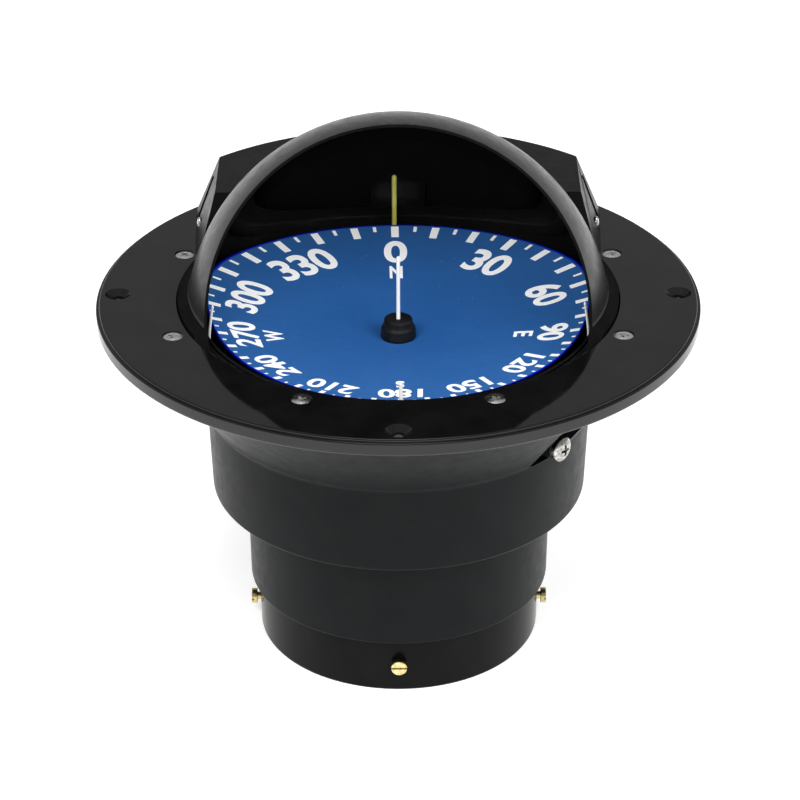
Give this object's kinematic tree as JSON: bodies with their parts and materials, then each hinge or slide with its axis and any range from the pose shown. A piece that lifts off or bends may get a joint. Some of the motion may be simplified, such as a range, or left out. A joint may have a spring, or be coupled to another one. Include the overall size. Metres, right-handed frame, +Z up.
{
  "type": "marine compass",
  "caption": "Flush-mount marine compass: fluid-filled dome with a blue gimballed card under a glare hood, round flange, stepped black housing and a geared magnetic compensator at its foot.",
  "frame": {"origin": "centre of the underside of the compensator ring, on the compass's vertical axis", "axes": "+Z up along the compass's vertical axis, -Y towards the helmsman who reads the card, +Y forward, +X starboard"},
  "size_m": [0.216, 0.216, 0.1993],
  "materials": {
    "flange_black": "polished black, mirror-like",
    "hood_black": "smooth black with a soft gloss, matt inside",
    "clear_dome": "polished clear acrylic",
    "housing_black": "fine satin black moulding",
    "ring_black": "semi-gloss black",
    "stainless": "bright stainless steel",
    "brass": "turned brass",
    "black_rubber": "matt black rubber",
    "frame_black": "matt black",
    "card_blue": "satin printed blue",
    "float_white": "matt off-white",
    "pin_white": "white enamel",
    "pin_yellow": "yellow enamel",
    "jewel_red": "polished synthetic jewel",
    "magnet_grey": "ground grey metal",
    "gear_white": "moulded natural nylon"
  },
  "bodies": {
    "casing": {"mounting_flange": "flange_black", "flange_screw_1": "stainless", "flange_screw_2": "stainless", "flange_screw_3": "stainless", "flange_screw_4": "stainless", "flange_screw_5": "stainless", "flange_screw_6": "stainless", "flange_screw_7": "stainless", "flange_screw_8": "stainless", "hood": "hood_black", "hood_screw_left": "stainless", "hood_screw_right": "stainless", "dome": "clear_dome", "dome_gasket": "black_rubber", "upper_housing": "housing_black", "filler_washer": "black_rubber", "filler_plug": "stainless", "lower_housing": "housing_black", "housing_seal": "black_rubber", "body_screw_1": "stainless", "body_screw_2": "stainless", "body_screw_3": "stainless", "diaphragm": "black_rubber", "compensator_ring": "ring_black", "ring_screw_1": "stainless", "ring_screw_2": "stainless", "bottom_cover": "frame_black", "cover_screw_1": "stainless", "cover_screw_2": "stainless", "roll_pin_forward": "stainless", "roll_pin_aft": "stainless", "ns_bearing": "brass", "ew_bearing": "brass"},
    "gimbal": {"gimbal_ring": "brass"},
    "frame": {"inner_frame": "frame_black", "pitch_pin_port": "stainless", "pitch_pin_starboard": "stainless", "lubber_pin_forward": "pin_yellow", "lubber_pin_aft": "pin_white", "lubber_pin_port": "pin_white", "lubber_pin_starboard": "pin_white", "pivot_stem": "stainless", "frame_weight": "brass"},
    "card_assembly": {"card": "card_blue", "card_float": "float_white", "card_hub": "frame_black", "card_rod": "pin_white", "pivot_jewel": "jewel_red", "card_magnet_port": "magnet_grey", "card_magnet_starboard": "magnet_grey"},
    "ns_drive": {"ns_shaft": "brass", "ns_gear": "gear_white", "ns_magnet": "magnet_grey"},
    "ns_counter": {"ns_counter_gear": "gear_white", "ns_counter_magnet": "magnet_grey"},
    "ew_drive": {"ew_shaft": "brass", "ew_gear": "gear_white", "ew_magnet": "magnet_grey"},
    "ew_counter": {"ew_counter_gear": "gear_white", "ew_counter_magnet": "magnet_grey"}
  },
  "joints": [
    {"name": "gimbal_roll", "type": "hinge", "parent": "casing", "child": "gimbal", "pos_m": [0, 0, 0.1155], "axis": [0, 1, 0], "range_deg": [-25, 25]},
    {"name": "gimbal_pitch", "type": "hinge", "parent": "gimbal", "child": "frame", "pos_m": [0, 0, 0.1155], "axis": [1, 0, 0], "range_deg": [-25, 25]},
    {"name": "card_turn", "type": "hinge", "parent": "frame", "child": "card_assembly", "pos_m": [0, 0, 0.1185], "axis": [0, 0, 1], "continuous": true},
    {"name": "ns_adjust", "type": "hinge", "parent": "casing", "child": "ns_drive", "pos_m": [0, 0, 0.0117], "axis": [0, 1, 0], "continuous": true},
    {"name": "ns_counter_turn", "type": "hinge", "parent": "casing", "child": "ns_counter", "pos_m": [0.0094, 0, 0.0117], "axis": [0, 1, 0], "continuous": true},
    {"name": "ew_adjust", "type": "hinge", "parent": "casing", "child": "ew_drive", "pos_m": [0, 0, 0.0078], "axis": [1, 0, 0], "continuous": true},
    {"name": "ew_counter_turn", "type": "hinge", "parent": "casing", "child": "ew_counter", "pos_m": [0, -0.0094, 0.0078], "axis": [1, 0, 0], "continuous": true}
  ],
  "couplings": [
    {"joint": "ns_counter_turn", "follows": "ns_adjust", "ratio": -1},
    {"joint": "ew_counter_turn", "follows": "ew_adjust", "ratio": -1}
  ]
}
